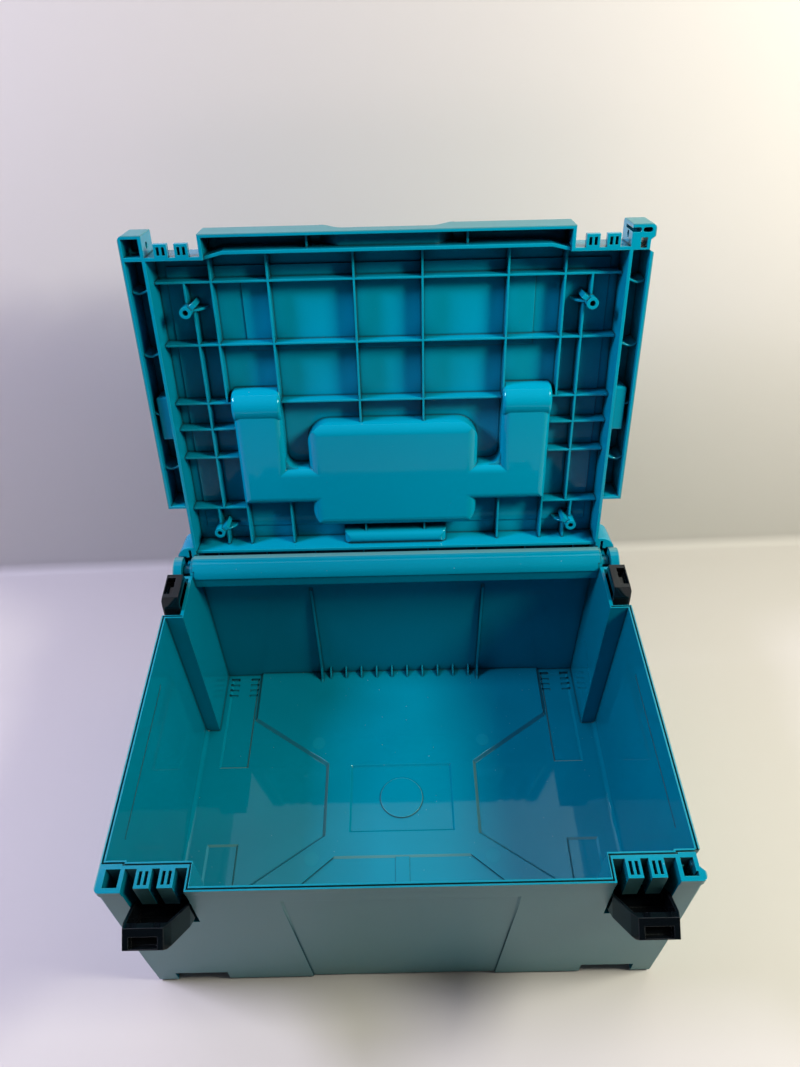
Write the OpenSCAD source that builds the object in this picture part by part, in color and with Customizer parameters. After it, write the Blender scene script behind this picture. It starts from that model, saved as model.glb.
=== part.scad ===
/* [Case] */
// Overall width, left to right
case_w = 395; // [380:1:420]
// Overall depth, front to back
case_d = 295; // [285:1:320]
// Height of the tub, from the feet to the rim
tub_h = 182; // [165:1:240]
// Height of the closed lid above the rim
lid_h = 28; // [27:0.5:32]
// Wall thickness of the mouldings
wall = 2.8; // [2.4:0.1:3]
// Radius of the upright outer corners
corner_r = 4; // [2:0.5:6]
// Lean of the tub walls, from the rim to the bottom edge
draft = 1.6; // [0.4:0.2:2.4]
// Angle through which the lid stands open
lid_open = 104; // [90:1:106]

/* [Rim] */
// How far the rim band stands proud of the tub walls
band_out = 0.6; // [0.3:0.1:1]
// Height of the rim band
band_h = 6; // [4:0.5:9]
// Width of the seal groove in the rim
groove_w = 1.2; // [0.8:0.1:1.4]
// Depth of the seal groove
groove_depth = 2; // [1:0.5:4]
// Gap between the closed lid and the rim
seam = 0.4; // [0.3:0.1:0.8]

/* [Latch pockets] */
// Width of a latch pocket
pocket_w = 41; // [40:0.5:43]
// Depth of a latch pocket
pocket_depth = 15.5; // [15.2:0.1:16.5]
// Height of a latch pocket below the rim
pocket_h = 55; // [54:0.5:60]
// Distance from the side of the case to a front pocket
pocket_inset = 17.5; // [16.5:0.5:22]
// Distance from the rear of the case to the middle of a side pocket
side_pocket_back = 45; // [44.5:0.5:50]
// Thickness of the wall behind a front pocket
pocket_back = 4.6; // [4:0.2:5.5]
// Width of a comb boss
comb_w = 10; // [8:0.5:10]
// Distance between the two comb bosses of a pocket, centre to centre
comb_pitch = 15.3; // [14.5:0.1:15.6]
// Reach of a comb boss from the wall behind it
comb_reach = 12.8; // [11:0.1:12.8]
// Height of a comb boss below the rim
comb_h = 26; // [18:1:28]
// Height of a comb boss on the lid
lid_comb_h = 4.6; // [3.5:0.1:5]
// Reach of a comb boss on the lid
lid_comb_reach = 9.6; // [8:0.1:11]
// Width of a slot in a comb boss
comb_slot = 2.2; // [1.6:0.1:2.6]

/* [Latches] */
// Width of a latch at its hinge
latch_w = 39; // [37:0.5:39.4]
// Width of a latch at its top end
latch_tip_w = 25; // [22:0.5:27]
// Height of a latch above its hinge axis
latch_len = 56; // [54:0.5:58]
// Depth of the hinge axis behind the outer face of the case
pivot_depth = 10; // [9.4:0.1:10.2]
// Height of the hinge axis above the pocket floor
pivot_rise = 13; // [12.8:0.1:14]
// Radius of the latch hinge stubs
stub_r = 2.5; // [2:0.1:3]
// Angle at which the front latches stand open
latch_open = 41; // [30:1:44]
// Thickness of the side cheeks and the outer plate of a latch
latch_wall = 2.1; // [1.8:0.1:2.2]

/* [Lid hinge] */
// Distance of the hinge axis from the rear face of the case
axis_back = 7.5; // [7:0.1:8]
// Depth of the hinge axis below the rim
axis_drop = 10; // [9.6:0.1:11]
// Radius of the round edge along the top of the rear wall
roll_r = 15; // [14.6:0.1:15.4]
// Radius of the rounded ears at the rear corners
ear_r = 14; // [13:0.1:14.4]
// Thickness of an ear
ear_t = 7.5; // [6.5:0.1:7.5]
// Width of the slot for a lid knuckle
knuckle_slot = 8; // [7:0.1:8]
// Radius of the hinge pins
pin_r = 3; // [2.5:0.1:3.5]
// Radius of the knuckles
knuckle_r = 6.6; // [6:0.1:7]

/* [Clearances] */
// Radial running clearance of pins in their bores
running = 0.08; // [0.05:0.01:0.1]
// Side gap between moving pieces
side_gap = 0.7; // [0.5:0.1:0.9]

/* [Tub inside] */
// Height of the inner floor
floor_z = 5; // [4.6:0.2:8]
// Height of the bottom edge of the walls above the feet
skirt_z = 2.5; // [1.5:0.5:3]
// Distance of the rear wall gussets from the middle
gusset_x = 80; // [76:1:84]
// Height of the rear wall gussets
gusset_h = 140; // [120:1:145]
// Number of short ribs along the foot of the rear wall
base_ribs = 10; // [4:1:14]
// Spacing of the short ribs
base_rib_pitch = 15.8; // [12:0.1:16]
// Height of the raised middle of the floor
plateau_rise = 3; // [1.5:0.1:4]
// Width of the slope around the raised middle
plateau_slope = 3.2; // [2:0.1:4]
// Depth of the sunken panels of the floor
sunk = 1.4; // [0.8:0.1:1.6]
// Width of the slope around a sunken panel
sunk_slope = 1.8; // [1:0.1:2.5]
// Radius of the round pad in the middle of the floor
disc_r = 19.5; // [14:0.5:22]
// Height of the round pad
disc_rise = 1.6; // [0.8:0.1:2]

/* [Front and feet] */
// Width of the recessed middle panel of the front wall
front_panel_w = 160; // [120:1:200]
// Depth of the recessed middle panel
front_panel_depth = 1.2; // [0.5:0.1:1.3]
// Width of the slope around the recessed panel
front_panel_slope = 5; // [3:0.5:8]
// Height of the stacking windows
window_h = 17; // [14:0.5:22]
// Reach of a comb boss in a stacking window
window_comb_reach = 9.5; // [7:0.5:11]
// Width of a foot
foot_w = 12; // [9:0.5:13]
// Length of a foot
foot_l = 16; // [12:0.5:20]

/* [Lid] */
// Thickness of the lid's top plate
plate = 2.5; // [2.2:0.1:3]
// Radius of the lid's upper outer edges
lid_edge_r = 3; // [1.5:0.5:4]
// Distance between the crosswise lid ribs
rib_pitch = 49.4; // [48:0.1:50]
// Distance of the first crosswise rib from the front face
first_rib = 37.5; // [36:0.1:40]
// Height of the lid ribs below the top plate
rib_h = 12.5; // [10:0.5:14]
// Thickness of the lid ribs
rib_t = 1.6; // [1.2:0.1:2.2]
// Half spacing of the inner pair of lengthwise ribs
rib_x_inner = 26.4; // [24:0.1:30]
// Half spacing of the middle pair of lengthwise ribs
rib_x_middle = 92.4; // [90:0.1:94]
// Half spacing of the outer pair of lengthwise ribs
rib_x_outer = 136; // [135.5:0.1:138]
// Half spacing of the screw bosses
boss_x = 157; // [154:0.5:160]
// Outer radius of a screw boss
boss_r = 4.6; // [4:0.1:5.5]
// Radius of the hole in a screw boss
boss_hole_r = 2.2; // [1.5:0.1:2.6]
// Width of the side channels of the lid
channel_w = 13; // [12:0.1:13.4]
// Height of the finger scoop in the front edge
scoop_h = 17; // [13:0.5:19]
// Width of the finger scoop
scoop_w = 86; // [70:1:96]

/* [Handle] */
// Overall width of the handle
handle_w = 255; // [250:1:258]
// Width of a handle arm
arm_w = 31; // [28:0.5:32]
// Distance from the handle's axis to the middle of its grip
handle_reach = 72.5; // [70:0.5:74]
// Width of the grip
grip_w = 26; // [22:0.5:28]
// Thickness of the handle
handle_t = 15; // [13:0.5:15.5]
// Radius of the handle's hinge stubs
handle_stub_r = 3.2; // [2.6:0.1:3.6]
// Radius of the rounded arm ends
arm_end_r = 8; // [7.5:0.1:8.2]
// Depth of the handle recess below the top of the lid
recess_depth = 19.5; // [19.2:0.1:20]
// Distance of the handle's axis from the front face
handle_front = 140.5; // [139.5:0.1:142]

/* [Hidden] */
$fn = 48;
cut = 1;
shell_colour = [0.0, 0.36, 0.42];
black = [0.03, 0.03, 0.035];

// Case faces, seen from the middle of the bottom
side_x = case_w / 2;
front_y = -case_d / 2;
rear_y = case_d / 2;
rim_z = tub_h;
lid_z = rim_z + seam;
top_z = rim_z + lid_h;
plate_z = top_z - plate;

// Tub walls
body_side = side_x - band_out;
body_front = front_y + band_out;
cavity_side = body_side - wall;
cavity_front = body_front + wall;
cavity_rear = rear_y - wall;
floor_under = floor_z - wall;
plateau_z = floor_z + plateau_rise;
slope_top = 0.4; // level edge above a slope
// Outline of the raised middle of the floor
mid_outer = 142;
mid_waist = 68;
mid_y = 3.3;
mid_long = 87.4;
mid_short = 36;
// Sunken square in the middle, and panels beside the raised middle, behind and in front
square_x = 47.5;
square_y = [-29.7, 36.7];
side_panel = [mid_outer + 4, mid_outer + 32];
rear_panel_y = [37.5, 139];
front_panel_y = [-122, -37];

// Front pockets
pocket_x = side_x - pocket_inset - pocket_w / 2;
pocket_floor = rim_z - pocket_h;
pocket_wall_y = front_y + pocket_depth;
behind_pocket = pocket_wall_y + pocket_back;
box_back = 1.2;
behind_box = behind_pocket + box_back;

// Side pockets
side_pocket_y = rear_y - side_pocket_back;
side_pocket_front = side_pocket_y - pocket_w / 2;
side_pocket_rear = side_pocket_y + pocket_w / 2;
pocket_wall_x = side_x - pocket_depth;
rear_cavity_x = pocket_wall_x - wall;
step_y = side_pocket_front - wall;

// Latch axes
pivot_z = pocket_floor + pivot_rise;
front_pivot_y = front_y + pivot_depth;
side_pivot_x = side_x - pivot_depth;
latch_face = 0.4;
latch_out = pivot_depth - latch_face;
latch_in = -(pocket_depth - pivot_depth) + 0.5;
latch_gap = (pocket_w - latch_w) / 2;
stub_bite = 1.8;
hook_v = rim_z + lid_comb_h + 1.3 - pivot_z;
waist_v = hook_v - 1;
waist_w = comb_pitch + comb_w + 2 * latch_wall + 1;
shoulder_v = 18;

// Lid hinge
axis_y = rear_y - axis_back;
axis_z = rim_z - axis_drop;
slot_in = side_x - ear_t - knuckle_slot;
slot_out = side_x - ear_t;
slot_floor = 8;
slot_front = side_pocket_rear + wall;
lid_sweep = 0.6;

// Lid
lid_wall = 2.5;
notch_y = pocket_wall_y + 0.5;
channel_out = side_x - lid_wall;
channel_in = channel_out - channel_w;
hall_side = channel_in - lid_wall;
hall_rear = axis_y - roll_r + 0.6;
channel_rear = side_pocket_front - 1.5;
rib_z = plate_z - rib_h;
wall_z = lid_z + 2.2;
row = [for (i = [0 : 4]) front_y + first_rib + i * rib_pitch];
short_row = row[2] + rib_pitch * 0.47;
panel_step = 1.2;
// The seal wall stands further forward between the front notches
seal_jog = 3.3;
seal_ramp = 14;
lid_side_r = 5;
boss_low = lid_z + 4;
boss_front_y = row[0] + 21;
boss_rear_y = row[4] + 21;
corner_start = side_pocket_rear - 2;
corner_round = 12;

// Handle, in the closed lid
handle_y = front_y + handle_front;
handle_z = top_z - 9.2;
arm_x = handle_w / 2 - arm_w / 2;
grip_y = handle_y + handle_reach;
handle_gap = 1.5;
bucket_wall = 2.5;
cheek = 4;
recess_z = top_z - recess_depth;
bucket_z = recess_z - bucket_wall;
bucket_side = handle_w / 2 + side_gap + cheek;
well_half = 70;
well_front = grip_y - grip_w / 2 - 42;
well_rear = grip_y + grip_w / 2 + 26;

module both_sides() {
    children();
    mirror([1, 0, 0]) children();
}

module box(low, high) {
    translate(low) cube(high - low);
}

// Plate with rounded upright corners
module round_plate(low, high, r) {
    box([low[0] + r, low[1], low[2]], [high[0] - r, high[1], high[2]]);
    box([low[0], low[1] + r, low[2]], [high[0], high[1] - r, high[2]]);
    for (x = [low[0] + r, high[0] - r], y = [low[1] + r, high[1] - r])
        translate([x, y, low[2]]) cylinder(r = r, h = high[2] - low[2]);
}

// Solid lying along X whose YZ section is the child
module along_x(x0, x1) {
    translate([x0, 0, 0]) rotate([90, 0, 90]) linear_extrude(x1 - x0) children();
}

// Solid lying along Y whose XZ section is the child
module along_y(y0, y1) {
    translate([0, y1, 0]) rotate([90, 0, 0]) linear_extrude(y1 - y0) children();
}

module x_rod(x0, x1, y, z, r) {
    translate([x0, y, z]) rotate([0, 90, 0]) cylinder(r = r, h = x1 - x0);
}

// Section with its two lower corners rounded
module cradle(a0, a1, z0, z1, r) {
    translate([a0 + r, z0]) square([a1 - a0 - 2 * r, z1 - z0]);
    translate([a0, z0 + r]) square([a1 - a0, z1 - z0 - r]);
    for (a = [a0 + r, a1 - r]) translate([a, z0 + r]) circle(r);
}

// Section with its two upper corners rounded
module dome(a0, a1, z0, z1, r) {
    translate([a0 + r, z0]) square([a1 - a0 - 2 * r, z1 - z0]);
    translate([a0, z0]) square([a1 - a0, z1 - z0 - r]);
    for (a = [a0 + r, a1 - r]) translate([a, z1 - r]) circle(r);
}

// Tray-shaped block: upright corners of radius r, lower edges of radius e
module tray(low, high, r, e) {
    intersection() {
        round_plate(low, high, r);
        along_x(low[0] - cut, high[0] + cut) cradle(low[1], high[1], low[2], high[2] + cut, e);
        along_y(low[1] - cut, high[1] + cut) cradle(low[0], high[0], low[2], high[2] + cut, e);
    }
}

// Block whose four sides lean inwards towards the bottom
module leaning(x, y0, y1, z0, z1) {
    lean = draft * (z1 - z0) / tub_h;
    intersection() {
        along_y(y0 - cut, y1 + cut)
            polygon([[-x + lean, z0], [x - lean, z0], [x, z1], [-x, z1]]);
        along_x(-x - cut, x + cut)
            polygon([[y0 + lean, z0], [y1 - lean, z0], [y1, z1], [y0, z1]]);
    }
}

// ---- Tub ----

module tub_outside() {
    intersection() {
        round_plate([-body_side, body_front, skirt_z], [body_side, rear_y, rim_z], corner_r);
        leaning(body_side, body_front, rear_y, skirt_z, rim_z);
    }
    round_plate([-side_x, front_y, rim_z - band_h], [side_x, rear_y, rim_z], corner_r);
}

// Space inside the tub: wide in front, narrower behind the side pockets
module tub_inside() {
    low = floor_z;
    high = rim_z + cut;
    middle = pocket_x - pocket_w / 2 - wall;
    box_edge = pocket_x + pocket_w / 2;
    intersection() {
        union() {
            box([-middle, cavity_front - cut, low], [middle, behind_pocket + cut, high]);
            box([-box_edge, behind_pocket, low], [box_edge, behind_box + cut, high]);
            box([-cavity_side - cut, behind_box, low], [cavity_side + cut, step_y, high]);
            box([-rear_cavity_x, step_y - cut, low], [rear_cavity_x, cavity_rear, high]);
        }
        leaning(cavity_side, cavity_front, cavity_rear + draft, floor_z - cut, rim_z + 2 * cut);
    }
}

module front_pocket() {
    box([pocket_x - pocket_w / 2, front_y - cut, pocket_floor],
        [pocket_x + pocket_w / 2, pocket_wall_y, rim_z + cut]);
}

module side_pocket() {
    box([pocket_wall_x, side_pocket_front, pocket_floor],
        [side_x + cut, side_pocket_rear, rim_z + cut]);
}

// Hollow below a pocket, open at the bottom, with its stacking window
module front_chamber() {
    box([pocket_x - pocket_w / 2, cavity_front + draft, -cut],
        [pocket_x + pocket_w / 2, pocket_wall_y, pocket_floor - wall]);
    box([pocket_x - pocket_w / 2, front_y - cut, -cut],
        [pocket_x + pocket_w / 2, pocket_wall_y - cut, window_h]);
}

module side_chamber() {
    box([pocket_wall_x, side_pocket_front, -cut],
        [cavity_side - draft, side_pocket_rear, pocket_floor - wall]);
    box([pocket_wall_x + cut, side_pocket_front, -cut],
        [side_x + cut, side_pocket_rear, window_h]);
}

// Comb boss with two slots; stands on y = 0 and reaches towards -y
module comb(z0, z1, slot_z0, slot_z1, reach) {
    difference() {
        box([-comb_w / 2, -reach, z0], [comb_w / 2, cut, z1]);
        for (s = [-1, 1])
            translate([s * (comb_slot / 2 + 0.9), 0, 0])
                box([-comb_slot / 2, -reach + 2.2, slot_z0], [comb_slot / 2, -1.6, slot_z1]);
    }
}

module comb_pair(z0, z1, slot_z0, slot_z1, reach = comb_reach) {
    for (s = [-1, 1])
        translate([s * comb_pitch / 2, 0, 0]) comb(z0, z1, slot_z0, slot_z1, reach);
}

// Open square pocket in each front corner
module corner_hole() {
    box([pocket_x + pocket_w / 2 + wall, cavity_front, floor_z + 2],
        [cavity_side - draft, pocket_wall_y, rim_z + cut]);
}

// Padlock corner: a curved web across the pocket and a step in the side
module padlock_corner() {
    mid_y = (cavity_front + pocket_wall_y) / 2;
    x0 = pocket_x + pocket_w / 2 + wall - cut;
    x1 = cavity_side - draft + cut;
    translate([0, 0, rim_z - 30]) difference() {
        box([x0, mid_y - 2, 0], [x1, mid_y + 6, 27]);
        translate([(x0 + x1) / 2, mid_y - 4.2, -cut]) cylinder(r = 7, h = 29);
        box([x0 - cut, mid_y + 2.4, -cut], [x0 + 8.4, mid_y + 7, 28]);
    }
}

module padlock_step() {
    step = 3.4;
    translate([side_x, pocket_wall_y - 1, rim_z - 22]) linear_extrude(22 + cut)
        polygon([[-step, -5], [-step, 6.4], [cut, 6.4], [cut, -5 - step - cut]]);
}

module padlock_backing() {
    step = 3.4;
    box([side_x - step - wall, pocket_wall_y - 9, rim_z - 25],
        [side_x - 0.5, behind_box, rim_z]);
}

// Seal groove in the rim, run by run
module rim_groove() {
    low = rim_z - groove_depth;
    g = groove_w;
    inset = (wall + band_out - g) / 2;
    pocket_in = pocket_x - pocket_w / 2;
    box_in = pocket_x + pocket_w / 2;
    y1 = front_y + inset;
    y2 = behind_pocket - inset;
    y3 = behind_box - inset;
    x1 = pocket_in - inset;
    x3 = side_x - inset;
    box([-x1, y1, low], [x1, y1 + g, rim_z + cut]);
    both_sides() {
        box([x1 - g, y1, low], [x1, y2, rim_z + cut]);
        box([x1 - g, y2 - g, low], [box_in + inset + g, y2, rim_z + cut]);
        box([box_in + inset, y2 - g, low], [box_in + inset + g, y3, rim_z + cut]);
        box([box_in + inset, y3 - g, low], [x3, y3, rim_z + cut]);
        box([x3 - g, y3 - g, low], [x3, step_y + inset + g, rim_z + cut]);
        box([rear_cavity_x + 0.8, step_y + inset, low], [x3, step_y + inset + g, rim_z + cut]);
    }
}

// Rounded rear edge: a hollow round bar cut off flush with the rear wall,
// with a lip hanging down inside the tub
module rear_roll() {
    lip_top = axis_z + 6;
    lip_bottom = axis_z - 5;
    lip_y = axis_y - roll_r + 1.4;
    x = rear_cavity_x + cut;
    intersection() {
        difference() {
            x_rod(-x, x, axis_y, axis_z, roll_r);
            x_rod(-x - cut, x + cut, axis_y, axis_z, roll_r - wall - 0.2);
        }
        box([-x, axis_y - roll_r - cut, lip_top - 1], [x, rear_y, top_z]);
    }
    box([-x, lip_y, lip_bottom], [x, lip_y + 2.5, lip_top]);
}

// Rear corner: ear outside, knuckle slot, inner cheek, and the hinge pin across
module rear_corner_top() {
    block_rear = rear_y;
    for (span = [[slot_out, side_x], [rear_cavity_x, slot_in]])
        intersection() {
            x_rod(span[0], span[1], axis_y, axis_z, ear_r);
            box([span[0], axis_y - ear_r, axis_z], [span[1], block_rear, top_z]);
        }
    x_rod(slot_in - cut, slot_out + cut, axis_y, axis_z, pin_r);
}

module rear_corner_cut() {
    // the wall tops fall away to the hinge axis around the ears
    difference() {
        box([rear_cavity_x - cut, slot_front, axis_z], [side_x + cut, rear_y + cut, rim_z + cut]);
        x_rod(rear_cavity_x - 2 * cut, side_x + 2 * cut, axis_y, axis_z, ear_r);
    }
    box([slot_in, slot_front, slot_floor], [slot_out, rear_y - wall, top_z]);
    box([slot_in, axis_y - cut, axis_z - 14], [slot_out, rear_y + cut, top_z]);
}

// Socket for a latch stub, on the X axis
module stub_socket() {
    depth = latch_gap + stub_bite + 0.3;
    x_rod(-latch_w / 2 - depth, latch_w / 2 + depth, 0, 0, stub_r + running);
}

// Outline of the raised middle, wide in front and behind, narrow between
function hourglass(inset) =
    [[mid_outer - inset, mid_y + mid_long], [mid_waist - inset, mid_y + mid_short],
     [mid_waist - inset, mid_y - mid_short], [mid_outer - inset, mid_y - mid_long]];

// Sloping side of a raised area, from one corner of its outline to the next;
// past is how far it runs on into the slope beside it
module slope(a, b, z, rise, out, past = [0, 0]) {
    run = b - a;
    translate([a[0], a[1], z]) rotate(atan2(run[1], run[0]) - 90)
        along_y(-past[0], norm(run) + past[1])
            polygon([[-1, -1], [out, -1], [out, 0], [slope_top, rise], [-1, rise]]);
}

// Raised middle of the floor with sloping sides
module plateau() {
    edge = hourglass(0);
    between = pocket_x - pocket_w / 2 - wall + 1;
    path = concat([[mid_outer, cavity_rear + 1]], edge, [[mid_outer, behind_pocket - 0.5]]);
    inward = [0, 0, 2, 2, 0, 0];
    both_sides() {
        translate([0, 0, floor_z - 1]) linear_extrude(plateau_rise + 1)
            polygon(concat([[-1, cavity_rear + 1]], path,
                           [[between, behind_pocket - 0.5], [between, cavity_front - 1],
                            [-1, cavity_front - 1]]));
        for (i = [0 : len(path) - 2])
            slope(path[i + 1], path[i], floor_z, plateau_rise, plateau_slope,
                  [inward[i + 1], inward[i]]);
        for (p = [edge[0], edge[3]])
            translate([p[0], p[1], floor_z])
                cylinder(r1 = plateau_slope, r2 = slope_top, h = plateau_rise);
    }
}

// Hollow under the raised middle, less the floor of the square panel
module plateau_hollow() {
    edge = hourglass(wall);
    rear = cavity_rear - 6;
    front = behind_box + 4;
    difference() {
        both_sides() translate([0, 0, -cut]) linear_extrude(plateau_z - wall + cut)
            polygon(concat([[-1, rear], [edge[0][0], rear]], edge, [[edge[3][0], front], [-1, front]]));
        box([-square_x - 1, square_y[0] - 1, plateau_z - wall - sunk],
            [square_x + 1, square_y[1] + 1, plateau_z]);
    }
}

// Sunken rectangle with sloping sides; z is the level around it
module sunken(x0, x1, y0, y1, z) {
    s = sunk_slope;
    intersection() {
        along_y(y0 - cut, y1 + cut)
            polygon([[x0 + s, z - sunk], [x1 - s, z - sunk], [x1, z], [x1, z + cut],
                     [x0, z + cut], [x0, z]]);
        along_x(x0 - cut, x1 + cut)
            polygon([[y0 + s, z - sunk], [y1 - s, z - sunk], [y1, z], [y1, z + cut],
                     [y0, z + cut], [y0, z]]);
    }
}

// Sunken bar in front of the middle; its rear corners are cut off
module sunken_bar() {
    z = plateau_z - sunk;
    difference() {
        sunken(-99, 99, -84, -51, plateau_z);
        both_sides() {
            translate([0, 0, z - cut]) linear_extrude(sunk + 3 * cut)
                polygon([[60, -50], [100, -50], [100, -83], [99, -83]]);
            slope([99, -83], [60, -50], z, sunk, sunk_slope);
        }
        // low rib across the middle
        box([-6, -85, z - cut], [6, -50, z + 0.5]);
    }
}

module floor_panels() {
    sunken(-square_x, square_x, square_y[0], square_y[1], plateau_z);
    sunken_bar();
    both_sides() {
        sunken(side_panel[0], side_panel[1], rear_panel_y[0], rear_panel_y[1], floor_z);
        sunken(side_panel[0], side_panel[1], front_panel_y[0], front_panel_y[1], floor_z);
    }
}

// The sunken side panels stand out below by as much
module floor_pads() {
    both_sides() for (y = [rear_panel_y, front_panel_y])
        box([side_panel[0], y[0], floor_under - sunk], [side_panel[1], y[1], floor_under + cut]);
}

// Round pad with a rounded edge
module round_pad() {
    e = 1;
    translate([0, 3, plateau_z - sunk - cut]) rotate_extrude() {
        square([disc_r - e, disc_rise + cut]);
        square([disc_r, disc_rise + cut - e]);
        translate([disc_r - e, disc_rise + cut - e]) circle(e);
    }
}

module rear_ribs() {
    // tall gussets that flare at the floor
    both_sides() translate([gusset_x - 1, 0, 0]) along_x(0, 2)
        polygon([[cavity_rear + 1, plateau_z - 1], [cavity_rear - 15, plateau_z - 1],
                 [cavity_rear - 10, plateau_z + 2], [cavity_rear - 5, plateau_z + 14],
                 [cavity_rear - 2.4, gusset_h], [cavity_rear + 1, gusset_h + 3]]);
    // short ribs along the foot of the wall
    for (i = [0 : base_ribs - 1])
        translate([(i - (base_ribs - 1) / 2) * base_rib_pitch - 0.8, 0, 0]) along_x(0, 1.6)
            polygon([[cavity_rear + 1, plateau_z - 1], [cavity_rear - 9, plateau_z - 1],
                     [cavity_rear - 7, plateau_z + 3], [cavity_rear + 1, plateau_z + 10]]);
}

// Where the side walls meet the floor, and a thin line along each of them
module side_wall_detail() {
    r = 4;
    x = cavity_side - draft;
    line_z = rim_z - 26;
    both_sides() {
        difference() {
            box([x - r, behind_box - 1, floor_z - 1], [x + 1, step_y + 1, floor_z + r]);
            translate([x - r, behind_box - 2, floor_z + r]) rotate([-90, 0, 0])
                cylinder(r = r, h = step_y - behind_box + 4);
        }
        box([cavity_side - 0.8, -100, line_z], [cavity_side + 0.5, 28, line_z + 0.9]);
        translate([cavity_side + 0.3, 28, line_z - 1]) cylinder(r = 1.2, h = 3);
    }
}

// Short slots beside the raised middle, in the rear corners
module corner_dashes() {
    for (x = [-171, -150.5], i = [0 : 3])
        both_sides() translate([x, cavity_rear - 5.5 - i * 6.4, floor_z - sunk])
            box([-4.5, -1.4, -0.8], [4.5, 1.4, 4]);
}

module feet() {
    x = side_x - 3 - foot_w;
    for (y = [front_y + 3, rear_y - 3 - foot_l])
        both_sides() round_plate([x, y, 0], [x + foot_w, y + foot_l, floor_z + 1], 2);
}

// Recessed panel of the front wall; its sides slope and widen downwards
module front_panel() {
    half = front_panel_w / 2;
    deep = body_front + front_panel_depth + draft;
    top = rim_z - 21;
    side = half - front_panel_slope;
    intersection() {
        translate([0, 0, -cut]) linear_extrude(top + cut)
            polygon([[-half - cut, body_front - cut], [half + cut, body_front - cut],
                     [half, body_front], [side, deep], [-side, deep], [-half, body_front]]);
        along_y(body_front - cut, deep + cut)
            polygon([[8 - half, -cut], [half - 8, -cut], [half, top], [-half, top]]);
        // as deep all the way down as the wall leans
        along_x(-half - 2 * cut, half + 2 * cut)
            polygon([[body_front - cut, -cut], [deep, -cut], [deep - draft, top],
                     [body_front - cut, top]]);
    }
}

module tub() {
    color(shell_colour) difference() {
        union() {
            difference() {
                union() {
                    tub_outside();
                    both_sides() rear_corner_top();
                    feet();
                }
                tub_inside();
                // underside, left hollow inside the skirt
                difference() {
                    both_sides() box([-1, cavity_front + 4, -cut],
                                     [rear_cavity_x - 4, cavity_rear - 3, floor_under]);
                    floor_pads();
                }
                both_sides() {
                    front_pocket();
                    side_pocket();
                    front_chamber();
                    side_chamber();
                    corner_hole();
                }
            }
            rear_roll();
            rear_ribs();
            plateau();
            side_wall_detail();
            padlock_corner();
            padlock_backing();
            both_sides() {
                translate([pocket_x, pocket_wall_y, 0]) {
                    comb_pair(rim_z - comb_h, rim_z, rim_z - comb_h + 3, rim_z + cut);
                    comb_pair(skirt_z + 1, window_h - 2, skirt_z, window_h - 5, window_comb_reach);
                }
                translate([pocket_wall_x, side_pocket_y, 0]) rotate(90)
                    comb_pair(skirt_z + 1, window_h - 2, skirt_z, window_h - 5, window_comb_reach);
            }
        }
        both_sides() {
            rear_corner_cut_minus_pin();
            translate([pocket_x, front_pivot_y, pivot_z]) stub_socket();
            translate([side_pivot_x, side_pocket_y, pivot_z]) rotate(90) stub_socket();
        }
        difference() {
            floor_panels();
            round_pad();
        }
        plateau_hollow();
        corner_dashes();
        rim_groove();
        padlock_step();
        front_panel();
    }
}

// The corner cut spares the pin that crosses the slot
module rear_corner_cut_minus_pin() {
    difference() {
        rear_corner_cut();
        x_rod(slot_in - 2 * cut, slot_out + 2 * cut, axis_y, axis_z, pin_r);
    }
}

// ---- Lid, drawn closed ----

module front_notch() {
    box([pocket_x - pocket_w / 2, front_y - cut, lid_z - cut],
        [pocket_x + pocket_w / 2, notch_y, top_z + cut]);
}

// Notch beside the side pocket; the rear corner starts behind it with a round edge
module side_notch() {
    round_x = side_x - corner_round;
    round_y = corner_start + corner_round;
    difference() {
        box([channel_in, channel_rear, lid_z - cut], [side_x + cut, round_y, top_z + cut]);
        translate([round_x, round_y, lid_z - 2 * cut]) cylinder(r = corner_round, h = lid_h + 3 * cut);
        box([channel_in - cut, corner_start, lid_z - 2 * cut], [round_x, round_y + cut, top_z + 2 * cut]);
    }
}

module lid_blank() {
    difference() {
        intersection() {
            round_plate([-side_x, front_y, lid_z], [side_x, rear_y, top_z], corner_r);
            along_x(-side_x, side_x) dome(front_y, rear_y, lid_z - cut, top_z, lid_edge_r);
            along_y(front_y, rear_y) dome(-side_x, side_x, lid_z - cut, top_z, lid_side_r);
        }
        both_sides() {
            front_notch();
            side_notch();
        }
    }
}

// Plan of the seal wall's step towards the front, a trapezoid in front of y
module seal_jog_shape(half, y, behind) {
    polygon([[-half, y + behind], [-half, y], [seal_ramp - half, y - seal_jog],
             [half - seal_ramp, y - seal_jog], [half, y], [half, y + behind]]);
}

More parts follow.
